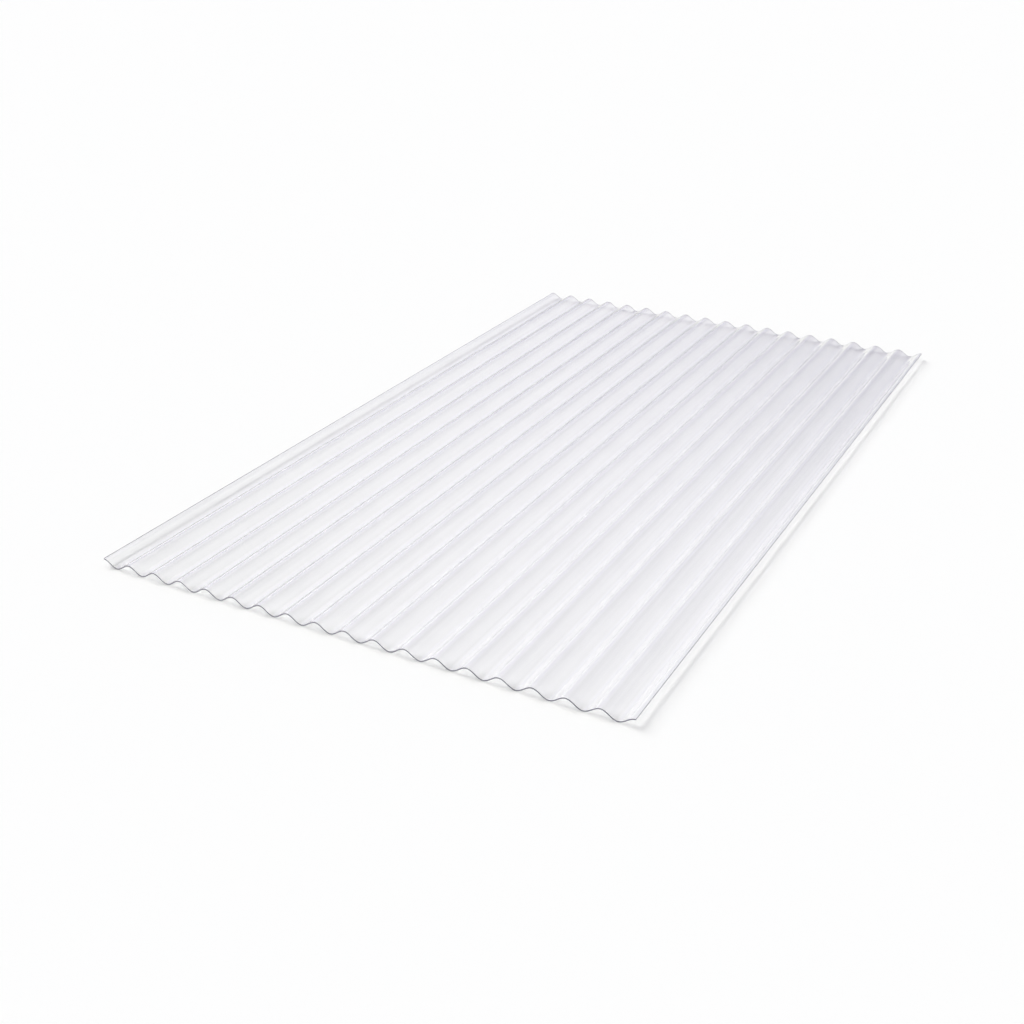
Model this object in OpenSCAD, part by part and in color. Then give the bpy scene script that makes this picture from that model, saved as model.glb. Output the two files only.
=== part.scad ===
// Corrugated acrylic roofing sheet, one extruded piece of stock.
// It lies flat on its troughs. The waves run side by side along X, and each ridge runs along Y.
// The origin is on the resting plane, under the middle of the sheet, with +Z up.

/* [Sheet] */
// Overall width, across the waves
sheet_w = 1440; // [300:10:2000]
// Overall length, along the waves
sheet_l = 2500; // [500:50:6000]
// Thickness of the acrylic, square to its surface
wall = 3; // [1:0.5:5]

/* [Waves] */
// Pitch of the waves, from crest to crest
pitch = 80; // [60:1:180]
// Depth of a wave, from crest to trough of the same face
wave_h = 18; // [8:1:40]
// Distance from a crest to the first long edge, where the left side is trimmed
first_edge = 0; // [0:1:60]
// Flat strokes that make up one wave of the section
strokes = 32; // [12:2:64]

/* [Hidden] */
// Overall height of the sheet as it lies
overall_h = wave_h + wall;
// Width of one stroke
stroke_w = pitch / strokes;
// Half a wave's depth, drawn out so that the strokes on top of a crest and under a trough
// lie level and touch the true height
swing = wave_h / 2 / cos(180 / strokes);
// First and last joint between strokes, one wave beyond each trimmed edge
first_joint = floor(first_edge / stroke_w) - strokes;
last_joint = ceil((first_edge + sheet_w) / stroke_w) + strokes;
// Extra height of the trimming outline above and below the waves
trim_over = 5;

// Joint number i on the middle line of the wall, half a stroke past a whole number of strokes,
// so that a level stroke is centred on each crest and each trough
function middle(i) = [
    (i + 0.5) * stroke_w - first_edge - sheet_w / 2,
    swing * cos(360 * (i + 0.5) / strokes)
];

// Upward unit normal of the stroke that ends at joint i
function normal(i) =
    let (run = middle(i) - middle(i - 1))
    [-run[1], run[0]] / norm(run);

// Joint i moved to a parallel line at distance d, mitred so that every stroke keeps its wall
function parallel(i, d) =
    let (before = normal(i), after = normal(i + 1))
    middle(i) + d * (before + after) / (1 + before * after);

// Section of the wavy wall, longer than the sheet is wide
module wavy_band() {
    upper_face = [for (i = [first_joint:last_joint]) parallel(i, wall / 2)];
    lower_face = [for (i = [last_joint:-1:first_joint]) parallel(i, -wall / 2)];
    polygon(concat(upper_face, lower_face));
}

// Section of the sheet, with both long edges sawn upright
module section() {
    intersection() {
        wavy_band();
        square([sheet_w, overall_h + 2 * trim_over], center = true);
    }
}

// The whole sheet, with its section drawn out along Y and both ends sawn square
module corrugated_sheet() {
    color([0.93, 0.93, 0.96, 0.45])
        translate([0, 0, overall_h / 2])
        rotate([90, 0, 0])
        linear_extrude(height = sheet_l, center = true)
        section();
}

corrugated_sheet();
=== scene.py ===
# %% [markdown]
# # A clear corrugated sheet
# One piece of extruded acrylic lies on the floor of a plain white studio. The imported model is
# the frame: it gives the sheet's size, its place and the body that it belongs to. Every length
# below is in metres, with +Z up, and the sheet's middle is the origin.
#
# The real sheet is a flat web of acrylic that is rolled into waves while it is still soft, and
# then sawn to size. It has no other piece, so there is one object here, with two finishes: the
# polished faces and the four sawn edges.

# %% Load the frame
import math

import bpy
from mathutils import Matrix, Vector


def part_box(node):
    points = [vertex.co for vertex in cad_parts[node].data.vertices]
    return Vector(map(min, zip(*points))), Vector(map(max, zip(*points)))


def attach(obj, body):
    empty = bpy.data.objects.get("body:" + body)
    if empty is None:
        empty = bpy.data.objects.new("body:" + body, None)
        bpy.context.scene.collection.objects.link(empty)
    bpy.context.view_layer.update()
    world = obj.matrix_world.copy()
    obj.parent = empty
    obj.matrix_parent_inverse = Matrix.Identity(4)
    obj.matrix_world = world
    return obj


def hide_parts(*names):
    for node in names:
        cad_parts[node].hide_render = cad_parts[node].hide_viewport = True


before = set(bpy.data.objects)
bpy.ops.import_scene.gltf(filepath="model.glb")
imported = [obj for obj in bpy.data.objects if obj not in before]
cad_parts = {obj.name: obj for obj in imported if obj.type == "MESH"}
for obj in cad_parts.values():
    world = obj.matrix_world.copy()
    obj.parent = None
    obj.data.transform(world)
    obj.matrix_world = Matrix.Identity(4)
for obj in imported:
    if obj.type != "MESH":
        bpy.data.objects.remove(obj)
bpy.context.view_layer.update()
low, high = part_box("corrugated_sheet")
sheet_size = [b - a for a, b in zip(low, high)]
sheet_width, sheet_length, sheet_height = sheet_size
print("width, length and height", [round(size, 4) for size in sheet_size])

# %% [markdown]
# ## Writing node trees as sums
# A node tree is easier to read as an expression than as a list of links. A `Value` wraps one
# output socket, and each operator adds the Math node that does it, whichever side the plain
# number is on, so that `1 - mask` works. Every other kind of node comes from one method, which
# sets the node's options before it fills its sockets, because some options change the sockets.


# %% One wrapped socket
class Value:
    """One output socket, with arithmetic that adds Math nodes."""

    def __init__(self, tree, socket):
        self.tree, self.socket = tree, socket

    def maths(self, operation, *others):
        """A Math node that takes this value first."""
        values = dict(enumerate((self, *others)))
        return self.tree.node("ShaderNodeMath", {"operation": operation}, values)

    def after(self, operation, first):
        """A Math node that takes this value second."""
        return self.tree.node("ShaderNodeMath", {"operation": operation}, {0: first, 1: self})

    def __add__(self, other):
        return self.maths("ADD", other)

    def __radd__(self, other):
        return self.after("ADD", other)

    def __sub__(self, other):
        return self.maths("SUBTRACT", other)

    def __rsub__(self, other):
        return self.after("SUBTRACT", other)

    def __mul__(self, other):
        return self.maths("MULTIPLY", other)

    def __rmul__(self, other):
        return self.after("MULTIPLY", other)

    def __truediv__(self, other):
        return self.maths("DIVIDE", other)

    def __rtruediv__(self, other):
        return self.after("DIVIDE", other)

    def __pow__(self, other):
        return self.maths("POWER", other)

    def __abs__(self):
        return self.maths("ABSOLUTE")


# %% One tree that makes nodes
class Tree:
    """A node tree under construction."""

    def __init__(self, group):
        self.group = group

    def node(self, kind, settings=None, values=None, output=0):
        """A new node, as the output that is asked for, or as several when output is a tuple."""
        made = self.group.nodes.new(kind)
        for name, setting in (settings or {}).items():
            setattr(made, name, setting)
        for name, value in (values or {}).items():
            self.feed(made.inputs[name], value)
        if isinstance(output, tuple):
            return [Value(self, made.outputs[name]) for name in output]
        return Value(self, made.outputs[output])

    def feed(self, socket, value):
        """Link a wrapped socket, or write a plain value."""
        if isinstance(value, Value):
            self.group.links.new(value.socket, socket)
        else:
            socket.default_value = value

    def between(self, value, start, end, smooth=False):
        """0 up to start, 1 from end on, and a ramp from one to the other."""
        kind = "SMOOTHSTEP" if smooth else "LINEAR"
        values = {"Value": value, "From Min": start, "From Max": end}
        return self.node("ShaderNodeMapRange", {"interpolation_type": kind}, values)

    def blend(self, factor, colour, other):
        """A colour that goes from one to the other as factor goes from 0 to 1."""
        return self.node(
            "ShaderNodeMix", {"data_type": "RGBA"}, {0: factor, 6: colour, 7: other}, output=2
        )


print("node helpers are ready")

# %% [markdown]
# ## The shape of the sheet
# A corrugated sheet is one wall of even thickness that follows a cosine across the width and
# runs straight along the length. It could be drawn as a profile and extruded, or be modelled as
# a plane with a wave and a Solidify modifier. Here a Geometry Nodes tree bends a flat slab,
# because the tree keeps the width, pitch, depth and wall as named inputs, and because both faces
# can be placed exactly half a wall from the middle curve, which keeps the sheet inside its box.
#
# The sheet is 18 waves wide. It is cut along a crest at each long edge, so that it can lap over
# its neighbour.

# %% Sizes of the profile
WALL = 0.003
PITCH = 0.080
FIRST_EDGE = 0.0
STATIONS_PER_WAVE = 40
wave_depth = sheet_height - WALL
print("wave depth", round(wave_depth, 4), "and", round(sheet_width / PITCH, 2), "waves across")

# %% [markdown]
# ### The wave tree
# The slab's top and bottom corners must move straight up only, so that the cut edges stay plumb.
# A point of the top face then belongs to a place on the middle curve that is a little to one
# side of it, by half a wall times the lean of the curve there. Guessing that place, measuring the
# lean and guessing again settles within three rounds.
#
# The slab's four upright sides are marked before it is bent, while their normals are still level.
# They take the sawn finish at the end. The shading is smooth everywhere but at sharp corners, so
# the waves look round and the cut edges stay crisp.

# %% Named inputs of the wave tree
SHEET_INPUTS = {
    "Width": "NodeSocketFloat",
    "Length": "NodeSocketFloat",
    "Pitch": "NodeSocketFloat",
    "Depth": "NodeSocketFloat",
    "Wall": "NodeSocketFloat",
    "First Edge": "NodeSocketFloat",
    "Stations": "NodeSocketInt",
    "Face Finish": "NodeSocketMaterial",
    "Edge Finish": "NodeSocketMaterial",
}
SETTLING_ROUNDS = 3
LEVEL_NORMAL = 0.5
SHARP_CORNER = math.radians(45)


def new_sheet_group():
    """An empty geometry tree with the inputs above and one output."""
    group = bpy.data.node_groups.new("corrugated_sheet", "GeometryNodeTree")
    for name, kind in SHEET_INPUTS.items():
        group.interface.new_socket(name, in_out="INPUT", socket_type=kind)
    group.interface.new_socket("Sheet", in_out="OUTPUT", socket_type="NodeSocketGeometry")
    return group


print("the wave tree takes", ", ".join(SHEET_INPUTS))


# %% The height of each face
def face_height(given, across, level):
    """How high a point of the slab goes: half a wall off the cosine that the middle follows."""
    half_wall = level.maths("SIGN") * given["Wall"] * 0.5
    swing = given["Depth"] * 0.5
    turns = math.tau / given["Pitch"]
    start = across + given["Width"] * 0.5 + given["First Edge"]
    middle_at = start
    for _ in range(SETTLING_ROUNDS + 1):
        angle = middle_at * turns
        slope = swing * turns * angle.maths("SINE")
        slant = (slope * slope + 1.0).maths("SQRT")
        middle_at = start - half_wall * slope / slant
    middle_height = (given["Depth"] + given["Wall"]) * 0.5 + swing * angle.maths("COSINE")
    return middle_height + half_wall / slant


# %% The whole tree
def wave_tree():
    """A slab, marked on its sides, bent into waves and given its two finishes."""
    group = new_sheet_group()
    tree = Tree(group)
    names = tuple(SHEET_INPUTS)
    given = dict(zip(names, tree.node("NodeGroupInput", output=names)))
    slab_size = tree.node(
        "ShaderNodeCombineXYZ", values={"X": given["Width"], "Y": given["Length"], "Z": 1.0}
    )
    slab = tree.node(
        "GeometryNodeMeshCube",
        values={
            "Size": slab_size,
            "Vertices X": given["Stations"],
            "Vertices Y": 2,
            "Vertices Z": 2,
        },
    )
    normal = tree.node("GeometryNodeInputNormal")
    faces_up = tree.node("ShaderNodeSeparateXYZ", values={"Vector": normal}, output="Z")
    slab = tree.node(
        "GeometryNodeStoreNamedAttribute",
        {"data_type": "BOOLEAN", "domain": "FACE"},
        {"Geometry": slab, "Name": "sawn", "Value": abs(faces_up).maths("LESS_THAN", LEVEL_NORMAL)},
    )
    place = tree.node("GeometryNodeInputPosition")
    across, along, level = tree.node(
        "ShaderNodeSeparateXYZ", values={"Vector": place}, output=("X", "Y", "Z")
    )
    bent = tree.node(
        "ShaderNodeCombineXYZ",
        values={"X": across, "Y": along, "Z": face_height(given, across, level)},
    )
    sheet = tree.node("GeometryNodeSetPosition", values={"Geometry": slab, "Position": bent})
    sheet = tree.node("GeometryNodeSetShadeSmooth", {"domain": "FACE"}, {"Geometry": sheet})
    corner = tree.node("GeometryNodeInputMeshEdgeAngle").maths("GREATER_THAN", SHARP_CORNER)
    sheet = tree.node(
        "GeometryNodeSetShadeSmooth",
        {"domain": "EDGE"},
        {"Geometry": sheet, "Selection": corner, "Shade Smooth": False},
    )
    sheet = tree.node("GeometryNodeRealizeInstances", values={"Geometry": sheet})
    sheet = tree.node(
        "GeometryNodeSetMaterial", values={"Geometry": sheet, "Material": given["Face Finish"]}
    )
    sawn = tree.node("GeometryNodeInputNamedAttribute", {"data_type": "BOOLEAN"}, {"Name": "sawn"})
    sheet = tree.node(
        "GeometryNodeSetMaterial",
        values={"Geometry": sheet, "Selection": sawn, "Material": given["Edge Finish"]},
    )
    tree.node("NodeGroupOutput", values={"Sheet": sheet}, output=())
    return group


# %% [markdown]
# ## Where things are on the sheet
# Both finishes follow the sheet's own coordinates, so their patterns stay with it when it is
# seen from another side or exported. Three measures of place are enough: the position, the angle
# of the wave at that position, and how far the nearest cut edge is.
#
# Marks from rolling run along the length, so their noise is squeezed across the sheet and
# stretched along it. A noise that is stretched by plain numbers needs only a Vector Math node.


# %% Helpers for both finishes
def fresh_material(name):
    """An empty material and its tree."""
    material = bpy.data.materials.new(name)
    material.use_nodes = True
    material.node_tree.nodes.clear()
    return material, Tree(material.node_tree)


def object_place(tree):
    """The position on the sheet, whole and as its three parts."""
    place = tree.node("ShaderNodeTexCoord", output="Object")
    parts = tree.node("ShaderNodeSeparateXYZ", values={"Vector": place}, output=("X", "Y", "Z"))
    return place, parts


def wave_angle(across):
    """The angle of the wave, 0 at each crest, growing to the right."""
    return (across + (sheet_width / 2 + FIRST_EDGE)) * (math.tau / PITCH)


def stretched_noise(tree, place, per_metre, detail):
    """Noise with so many features a metre along each axis."""
    scaled = tree.node("ShaderNodeVectorMath", {"operation": "MULTIPLY"}, {0: place, 1: per_metre})
    return tree.node(
        "ShaderNodeTexNoise", values={"Vector": scaled, "Scale": 1.0, "Detail": detail}
    )


def bumped(tree, height):
    """The normal of a surface that is raised by a height in metres."""
    return tree.node("ShaderNodeBump", values={"Height": height, "Strength": 1.0, "Distance": 1.0})


# %% [markdown]
# ## The finish of the clear faces
# Acrylic is a glass for light: it bends it by an index of 1.49 and mirrors a few parts in a
# hundred, more at a slant. A Principled shader with full transmission does that. Its colour is
# not quite even. The rollers leave fine lines along the length, and faint clouds vary the tone.
# A band just right of the top of each wave is painted darker; this is painted shade, not a
# change in the acrylic. The same lines go into a very shallow bump, so that the mirrored
# studio breaks up into streaks. The gloss is a little duller in faint clouds. Light that is
# mirrored is tinted apart from light that passes, by the Specular Tint.
#
# Light that reaches the floor through curved glass is slow to work out and comes out as specks.
# So lamps, and light on its way between the floor and the room, meet a Transparent shader with
# the same loss. The loss follows the slant by Layer Weight, as the mirrored share does. Light
# that enters near a cut edge meets the saw cut from inside and is scattered there, and so the
# edges cast a darker line than the faces do. The long edges lose it all, and the short ones a
# little over half.

# %% Values of the clear faces
INDEX = 1.49
MIRROR_TINT = (0.93, 0.87, 1.0, 1.0)
CLEAR = (0.998, 0.997, 1.0, 1.0)
# The darkest colour below serves both the rolling marks and a painted shade band beside each crest;
# the three values after it place and size that band.
TONE_AND_PAINTED_SHADE = (0.858, 0.854, 0.870, 1.0)
SHADE_BAND_AT = math.radians(14)
SHADE_BAND_POWER = 5.0
LEAST_MARKS, SHADE_BAND_SHARE, LINE_SHARE, CLOUD_SHARE = 0.05, 0.85, 0.65, 0.35
LINES = (160.0, 1.2, 0.0)
CLOUDS = (20.0, 6.0, 0.0)
ROLLED_DETAIL = 3.0
LINE_DEPTH = 0.00001
GLOSS, CLOUD_GLOSS = 0.02, 0.05
PASSED = (0.967, 0.967, 0.970, 1.0)
SLANT_POWER = 16.0
LEAST_LOSS = 0.035
SIDE_DARK, SIDE_MARGIN = 0.004, 0.008
END_MARGIN, END_LEAST = 0.045, 0.45


# %% Marks and painted shade in the clear faces
def marks_and_painted_shade(tree, place, across):
    """0 where clearest, up to 1 at the darkest marks and painted shade, and the two noises."""
    lines = stretched_noise(tree, place, LINES, ROLLED_DETAIL)
    clouds = stretched_noise(tree, place, CLOUDS, ROLLED_DETAIL)
    # Painted shade: a band centred a little right of each crest is coloured darker.
    painted_shade_band = ((wave_angle(across) - SHADE_BAND_AT).maths("COSINE") * 0.5 + 0.5) ** SHADE_BAND_POWER
    marks = painted_shade_band * SHADE_BAND_SHARE + LEAST_MARKS
    marks = marks + (lines - 0.5) * LINE_SHARE + (clouds - 0.5) * CLOUD_SHARE
    return tree.between(marks, 0.0, 1.0), lines, clouds


def let_through(tree, across, along):
    """The share of light that goes straight on: none for the camera and for mirrored rays."""
    shadow, diffuse = tree.node("ShaderNodeLightPath", output=("Is Shadow Ray", "Is Diffuse Ray"))
    slant = tree.node("ShaderNodeLayerWeight", values={"Blend": 0.5}, output="Facing")
    passed = (1 - LEAST_LOSS) - slant**SLANT_POWER * (1 - LEAST_LOSS)
    from_side = tree.between(sheet_width / 2 - abs(across), SIDE_DARK, SIDE_MARGIN)
    from_end = tree.between(sheet_length / 2 - abs(along), 0.0, END_MARGIN)
    from_end = from_end * (1 - END_LEAST) + END_LEAST
    return shadow.maths("MAXIMUM", diffuse) * passed * from_side * from_end


# %% The clear material
def clear_acrylic():
    """Polished clear acrylic with its marks."""
    material, tree = fresh_material("polished_acrylic")
    place, (across, along, _) = object_place(tree)
    marks, lines, clouds = marks_and_painted_shade(tree, place, across)
    body = tree.node(
        "ShaderNodeBsdfPrincipled",
        values={
            # The base colour carries the rolling marks and the painted shade band.
            "Base Color": tree.blend(marks, CLEAR, TONE_AND_PAINTED_SHADE),
            "Roughness": clouds * CLOUD_GLOSS + GLOSS,
            "IOR": INDEX,
            "Transmission Weight": 1.0,
            "Specular Tint": MIRROR_TINT,
            "Normal": bumped(tree, lines * LINE_DEPTH),
        },
    )
    straight = tree.node("ShaderNodeBsdfTransparent", values={"Color": PASSED})
    share = let_through(tree, across, along)
    surface = tree.node("ShaderNodeMixShader", values={0: share, 1: body, 2: straight})
    tree.node("ShaderNodeOutputMaterial", values={"Surface": surface}, output=())
    return material


# %% [markdown]
# ## The finish of the sawn edges
# A saw leaves fine upright marks. The grey-violet of a cut edge is painted shade, for light that
# runs inside the sheet and comes out of the saw cut dull, so that seen from the front an edge is
# a thin grey-violet line. It is painted darkest where the wave runs down to the right, as painted
# shade for the dim side of the room that this flank sees. Saw marks are
# close set along the edge, so their noise is fine both ways across the floor and coarse upwards.

# %% Values of the sawn edges
# Both cut colours are painted shade: the lighter and the darker end of the edge line.
CUT_PAINTED_SHADE_LIGHT = (0.34, 0.33, 0.39, 1.0)
CUT_PAINTED_SHADE_DARK = (0.14, 0.13, 0.17, 1.0)
SAW_MARKS = (900.0, 900.0, 120.0)
SAW_DETAIL = 2.0
SAW_DEPTH = 0.00005
CUT_GLOSS, CUT_DULL = 0.35, 0.25
PAINTED_SHADE_DOWNHILL_SHARE, MARKS_SHARE = 0.7, 0.8


# %% The sawn material
def sawn_acrylic():
    """The dull cut edge of the sheet, its grey-violet colour painted shade."""
    material, tree = fresh_material("sawn_acrylic")
    place, (across, _, _) = object_place(tree)
    marks = stretched_noise(tree, place, SAW_MARKS, SAW_DETAIL)
    # Painted shade: the edge colour is darker where the wave runs down to the right.
    painted_shade_downhill = wave_angle(across).maths("SINE") * 0.5 + 0.5
    painted_shade_and_saw_marks = tree.between(painted_shade_downhill * PAINTED_SHADE_DOWNHILL_SHARE + (marks - 0.5) * MARKS_SHARE, 0.0, 1.0)
    body = tree.node(
        "ShaderNodeBsdfPrincipled",
        values={
            "Base Color": tree.blend(painted_shade_and_saw_marks, CUT_PAINTED_SHADE_LIGHT, CUT_PAINTED_SHADE_DARK),
            "Roughness": marks * CUT_DULL + CUT_GLOSS,
            "IOR": INDEX,
            "Normal": bumped(tree, marks * SAW_DEPTH),
        },
    )
    tree.node("ShaderNodeOutputMaterial", values={"Surface": body}, output=())
    return material


# %% [markdown]
# ## Making the sheet
# The tree is put on an empty object as a modifier. A modifier's inputs are set through their
# identifiers, not their names, before it is first worked out. The result is then copied into a
# plain mesh, because the export keeps meshes and drops modifiers and instances. The copy brings
# an empty first material slot along, which is taken out.


# %% Set the inputs and keep the mesh
def set_inputs(modifier, values):
    """Write each named input of a Geometry Nodes modifier."""
    for item in modifier.node_group.interface.items_tree:
        if item.in_out == "INPUT":
            modifier[item.identifier] = values[item.name]


def make_sheet():
    """The corrugated sheet as one plain mesh object."""
    maker = bpy.data.objects.new("sheet_maker", bpy.data.meshes.new("sheet_maker"))
    bpy.context.scene.collection.objects.link(maker)
    waves = maker.modifiers.new("waves", "NODES")
    waves.node_group = wave_tree()
    sizes = {
        "Width": sheet_width,
        "Length": sheet_length,
        "Pitch": PITCH,
        "Depth": wave_depth,
        "Wall": WALL,
        "First Edge": FIRST_EDGE,
        "Stations": round(sheet_width / PITCH * STATIONS_PER_WAVE) + 1,
        "Face Finish": clear_acrylic(),
        "Edge Finish": sawn_acrylic(),
    }
    set_inputs(waves, sizes)
    bpy.context.view_layer.update()
    graph = bpy.context.evaluated_depsgraph_get()
    mesh = bpy.data.meshes.new_from_object(maker.evaluated_get(graph))
    bpy.data.objects.remove(maker)
    if mesh.materials[0] is None:
        mesh.materials.pop(index=0)
    sheet = bpy.data.objects.new("clear_sheet", mesh)
    bpy.context.scene.collection.objects.link(sheet)
    return sheet


sheet = make_sheet()
finishes = [material.name for material in sheet.data.materials]
print("the sheet has", len(sheet.data.polygons), "faces and", finishes)

# %% Tie the sheet to the frame
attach(sheet, "root")
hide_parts("corrugated_sheet")

# %% [markdown]
# ## The floor
# A clear thing shows mostly what it lies on, so the floor is plain and nearly white. It is
# large, so that its far edge stays out of the camera's own view, and lies half a millimetre low,
# so that the troughs rest on it without sharing its surface.

# %% Lay the floor
FLOOR_SIZE, FLOOR_DROP = 60.0, 0.0005
FLOOR_WHITE = (0.95, 0.95, 0.95, 1.0)
FLOOR_DULL = 0.9


def studio_floor():
    """A plain matt floor."""
    material, tree = fresh_material("studio_floor")
    body = tree.node(
        "ShaderNodeBsdfPrincipled",
        values={"Base Color": FLOOR_WHITE, "Roughness": FLOOR_DULL, "Specular IOR Level": 0.0},
    )
    tree.node("ShaderNodeOutputMaterial", values={"Surface": body}, output=())
    return material


bpy.ops.mesh.primitive_plane_add(size=FLOOR_SIZE, location=(0, 0, -FLOOR_DROP))
floor = bpy.context.object
floor.name = "floor"
floor.data.materials.append(studio_floor())
print("the floor is", FLOOR_SIZE, "metres wide")

# %% [markdown]
# ## The light
# White plastic on white needs light that comes from all round and yet leaves something to
# mirror. The room is pale near the ground and dim above, where the flanks of the waves look.
# A broad glow stands behind the sheet to the left, and the level crests and troughs catch it.
# A smaller one to the right lights their right shoulders, and a weak one low on the left keeps
# the left flanks from going black. The far wall is lilac, and the sheet mirrors it most where it
# is seen at the lowest slant, so its far part looks more violet than its near part.
#
# Three wide lamps stand on the left and a little behind. They draw the thin shadow line beside
# the right edge and the soft shadow below the near edge. Their colour evens out the lilac of the
# wall, so that a level floor has just the shade and brightness that its colour names. A lamp is
# hidden from mirrored rays, as a polished sheet would otherwise show it as a white patch.

# %% Values of the light
HORIZON, ROOM = 0.95, 0.21
HORIZON_TO, ROOM_FROM = 0.05, 0.30
WALL_TINT = (0.03, 0.0, 0.18)
WALL_FROM, WALL_TO = 0.2, 0.7
WALL_LOW, WALL_HIGH = 0.5, 0.9
GLOWS = (
    ((-0.405, 0.70, 0.588), 5.0, 27.0, 0.72),
    ((0.166, 0.781, 0.602), 4.0, 17.0, 0.4),
    ((-0.80, 0.58, 0.18), 8.0, 24.0, 0.3),
)
LAMPS = (
    ((-0.62, 0.08, 0.785), 16.0, 0.85),
    ((-0.78, 0.28, 0.56), 34.0, 1.9),
    ((-0.15, 0.34, 0.93), 40.0, 0.66),
)
LAMP_TINT = (0.994, 1.0, 0.967)


# %% The room
def studio_world():
    """A pale horizon, a dim room and soft glows, each with its place and its reach in degrees."""
    world = bpy.data.worlds.new("studio")
    world.use_nodes = True
    world.node_tree.nodes.clear()
    tree = Tree(world.node_tree)
    direction = tree.node("ShaderNodeTexCoord", output="Generated")
    ahead, rise = tree.node(
        "ShaderNodeSeparateXYZ", values={"Vector": direction}, output=("Y", "Z")
    )
    dim = tree.between(rise, HORIZON_TO, ROOM_FROM, smooth=True)
    light = HORIZON - dim * (HORIZON - ROOM)
    for middle, full, gone, level in GLOWS:
        towards = tree.node(
            "ShaderNodeVectorMath",
            {"operation": "DOT_PRODUCT"},
            {0: direction, 1: Vector(middle).normalized()},
            output="Value",
        )
        reach = [math.cos(math.radians(angle)) for angle in (gone, full)]
        light = light + tree.between(towards, *reach, smooth=True) * level
    far_wall = dim * tree.between(ahead, WALL_FROM, WALL_TO, smooth=True)
    far_wall = far_wall - far_wall * tree.between(rise, WALL_LOW, WALL_HIGH)
    tinted = [light + far_wall * share for share in WALL_TINT]
    colour = tree.node("ShaderNodeCombineXYZ", values=dict(zip("XYZ", tinted)))
    back = tree.node("ShaderNodeBackground", values={"Color": colour, "Strength": 1.0})
    tree.node("ShaderNodeOutputWorld", values={"Surface": back}, output=())
    return world


bpy.context.scene.world = studio_world()


# %% The lamps
def studio_lamp(number, direction, spread, power):
    """One wide, far lamp."""
    name = f"lamp_{number}"
    data = bpy.data.lights.new(name, "SUN")
    data.energy, data.color = power, LAMP_TINT
    data.angle = math.radians(spread)
    lamp = bpy.data.objects.new(name, data)
    lamp.rotation_euler = Vector(direction).to_track_quat("Z", "Y").to_euler()
    lamp.visible_glossy = False
    bpy.context.scene.collection.objects.link(lamp)


for number, lamp in enumerate(LAMPS, start=1):
    studio_lamp(number, *lamp)
print("the studio has", len(LAMPS), "lamps and", len(GLOWS), "glows")

# %% [markdown]
# ## The camera
# It stands in front of the near right corner and looks down on the sheet. The direction is
# given as the angle round from the front and the angle above the floor, and the place looked at
# is on the middle plane of the sheet.

# %% Aim the camera
VIEW_AROUND, VIEW_ABOVE, VIEW_ROLL = 27.934, 26.497, 0.36
VIEW_DISTANCE = 3.6757
LENS, SENSOR = 48.115, 36.0
LOOK_AT = Vector((0.0397, -0.5146, sheet_height / 2))
FAR_CLIP = 200.0


def aim_camera():
    """A camera at the view above, made the scene's own."""
    around, above = math.radians(VIEW_AROUND), math.radians(VIEW_ABOVE)
    level = math.cos(above)
    back = Vector((math.sin(around) * level, -math.cos(around) * level, math.sin(above)))
    right = Vector((math.cos(around), math.sin(around), 0.0))
    turn = Matrix((right, back.cross(right), back)).transposed().to_4x4()
    turn = turn @ Matrix.Rotation(math.radians(VIEW_ROLL), 4, "Z")
    data = bpy.data.cameras.new("camera")
    data.lens = LENS
    data.sensor_width = SENSOR
    data.clip_end = FAR_CLIP
    camera = bpy.data.objects.new("camera", data)
    camera.matrix_world = Matrix.Translation(LOOK_AT + back * VIEW_DISTANCE) @ turn
    bpy.context.scene.collection.objects.link(camera)
    bpy.context.scene.camera = camera
    print("the camera is at", [round(c, 3) for c in camera.matrix_world.translation])


aim_camera()
bpy.context.scene.view_settings.view_transform = "Standard"
